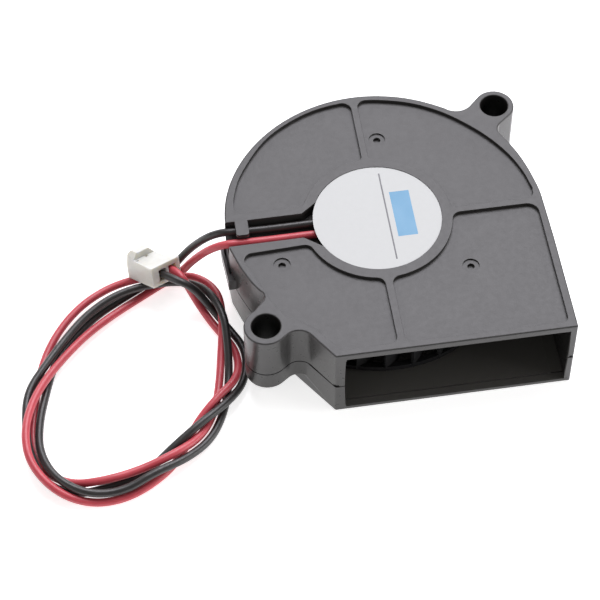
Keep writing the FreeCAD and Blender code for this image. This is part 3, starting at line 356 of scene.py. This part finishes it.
def paint(ob, m):
    ob.data.materials.clear()
    ob.data.materials.append(m)
    if ob.type == "MESH":
        for p in ob.data.polygons:
            p.material_index = 0


for name, ob in NODES.items():
    paint(ob, M[SLOT[name]])

# ------------------------------------------------------------------ moulded shells and other pieces taken from their nodes


def weigh(bm, rims):
    # rounding only where the moulding shows it: (level, lowest point of the wall below or above, weight)
    layer = bm.edges.layers.float.get("bevel_weight_edge") or bm.edges.layers.float.new("bevel_weight_edge")
    for e in bm.edges:
        if len(e.link_faces) != 2 or e.calc_face_angle(0.0) < math.radians(35.0):
            continue
        a, c = e.verts[0].co / MM, e.verts[1].co / MM
        if abs(a.z - c.z) > 5.0 and abs(a.x - c.x) + abs(a.y - c.y) < 0.01 and e.is_convex:
            e[layer] = rims.get("upright", 0.0)
            continue
        walls = [f for f in e.link_faces if abs(f.normal.z) < 0.5]
        flats = [f for f in e.link_faces if abs(f.normal.z) > 0.9]
        if len(walls) != 1 or len(flats) != 1 or not e.is_convex:
            continue
        reach = max(abs(v.co.z / MM - a.z) for v in walls[0].verts)
        for level, least, weight in rims["flat"]:
            if abs(a.z - level) < 0.02 and abs(c.z - level) < 0.02 and reach > least:
                e[layer] = weight
                break
    for e in bm.edges:
        if len(e.link_faces) == 2 and e[layer] == 0.0 and e.calc_face_angle(0.0) > math.radians(32.0):
            e.smooth = False


def refined(node, name, width, segments=3, angle=28.0, dissolve=0.6, clamp=True, rims=None):
    src = NODES[node]
    me = src.data.copy()
    me.name = name
    ob = bpy.data.objects.new(name, me)
    bpy.context.scene.collection.objects.link(ob)
    bm = bmesh.new()
    bm.from_mesh(me)
    bmesh.ops.remove_doubles(bm, verts=bm.verts, dist=2e-6)
    bmesh.ops.dissolve_limit(bm, angle_limit=math.radians(dissolve), verts=bm.verts, edges=bm.edges)
    if rims:
        weigh(bm, rims)
    bm.to_mesh(me)
    bm.free()
    for p in me.polygons:
        p.use_smooth = True
    if width:
        bv = ob.modifiers.new("edge", "BEVEL")
        bv.width = width * MM
        bv.segments = segments
        bv.limit_method = "WEIGHT" if rims else "ANGLE"
        bv.angle_limit = math.radians(angle)
        bv.harden_normals = False
        bv.use_clamp_overlap = clamp
        bv.miter_outer = "MITER_ARC"
    wn = ob.modifiers.new("normals", "WEIGHTED_NORMAL")
    wn.keep_sharp = True
    wn.weight = 90
    paint(ob, M[SLOT[node]])
    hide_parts(node)
    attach(ob, BODY[node])
    return ob


upper = refined("motor_housing", "motor_housing_shell", 0.26, clamp=False,
                rims={"flat": [(15.0, 2.5, 1.0), (15.0, 0.5, 0.22)], "upright": 1.0})
lower = refined("inlet_cover", "inlet_cover_shell", 0.26, clamp=False,
                rims={"flat": [(0.0, 1.1, 0.8), (2.9, 1.5, 0.8)], "upright": 1.0})
plug = refined("connector_housing", "plug_housing", 0.04, segments=2, clamp=False)

for ob, node, length, pts in ((black, "black_lead", 0.2615, BLACK), (red, "red_lead", 0.2619, RED)):
    ob.data.materials.append(M["black_pvc" if node == "black_lead" else "red_pvc"])
    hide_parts(node)
    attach(ob, "casing")

# ------------------------------------------------------------------ stage and light

bm = bmesh.new()
bmesh.ops.create_grid(bm, x_segments=1, y_segments=1, size=3.0)
me = bpy.data.meshes.new("floor")
bm.to_mesh(me)
bm.free()
floor = bpy.data.objects.new("floor", me)
bpy.context.scene.collection.objects.link(floor)
m, nt, b = mat("floor_paper")
b.inputs["Base Color"].default_value = (0.86, 0.86, 0.86, 1)
b.inputs["Roughness"].default_value = 0.9
b.inputs["Specular IOR Level"].default_value = 0.1
b.inputs["Emission Color"].default_value = (1, 1, 1, 1)
# painted shadow: the paper's glow is cut where the casing stands on it, in place of its contact shadow
pos = nt.nodes.new("ShaderNodeNewGeometry")
xyz = nt.nodes.new("ShaderNodeSeparateXYZ")
link(nt, pos.outputs["Position"], xyz.inputs[0])
painted_shadow = None
for cx, cy, half, deep, power in ((0.3, 0.0, 24.3, 24.3, 2.0), (8.6, -12.0, 15.8, 12.6, 8.0)):
    at = P(cx, cy, 0.0)
    dx = math_node(nt, "ABSOLUTE", math_node(nt, "SUBTRACT", xyz.outputs[0], val=at[0]))
    dy = math_node(nt, "ABSOLUTE", math_node(nt, "SUBTRACT", xyz.outputs[1], val=at[1]))
    dx = math_node(nt, "POWER", math_node(nt, "DIVIDE", dx, val=half * MM), val=power)
    dy = math_node(nt, "POWER", math_node(nt, "DIVIDE", dy, val=deep * MM), val=power)
    inside = mrange(nt, math_node(nt, "ADD", dx, dy), 1.0, 0.0, 0.9, 1.0)
    painted_shadow = inside if painted_shadow is None else math_node(nt, "MAXIMUM", painted_shadow, inside)
# glow drops to 0.02 inside the painted shadow
glow = mrange(nt, painted_shadow, 0.71, 0.02)
link(nt, glow, b.inputs["Emission Strength"])
me.materials.append(m)

world = bpy.data.worlds.new("studio")
bpy.context.scene.world = world
world.use_nodes = True
world.node_tree.nodes["Background"].inputs["Color"].default_value = (1.0, 0.975, 0.95, 1)
world.node_tree.nodes["Background"].inputs["Strength"].default_value = 0.27


def area(name, loc, target, size, power, color=(1, 1, 1)):
    d = bpy.data.lights.new(name, "AREA")
    d.shape = "RECTANGLE"
    d.size, d.size_y = size
    d.energy = power
    d.color = color
    o = bpy.data.objects.new(name, d)
    bpy.context.scene.collection.objects.link(o)
    o.location = loc
    o.rotation_euler = (Vector(target) - Vector(loc)).to_track_quat("-Z", "Y").to_euler()
    return o


area("overhead_box", (0.18, 0.51, 0.87), (0, 0, 0), (0.8, 0.7), 12.1, (0.945, 0.935, 1.0))
area("back_wall", (0.0, 1.15, 0.28), (0, 0, 0.05), (2.0, 0.5), 6.0)
area("left_wall", (-0.85, -0.25, 0.32), (0, 0, 0), (0.6, 0.5), 1.2)
area("right_wall", (0.95, -0.25, 0.30), (0, 0, 0), (0.6, 0.5), 4.5)

bpy.context.scene.view_settings.view_transform = "Standard"
bpy.context.scene.view_settings.look = "None"
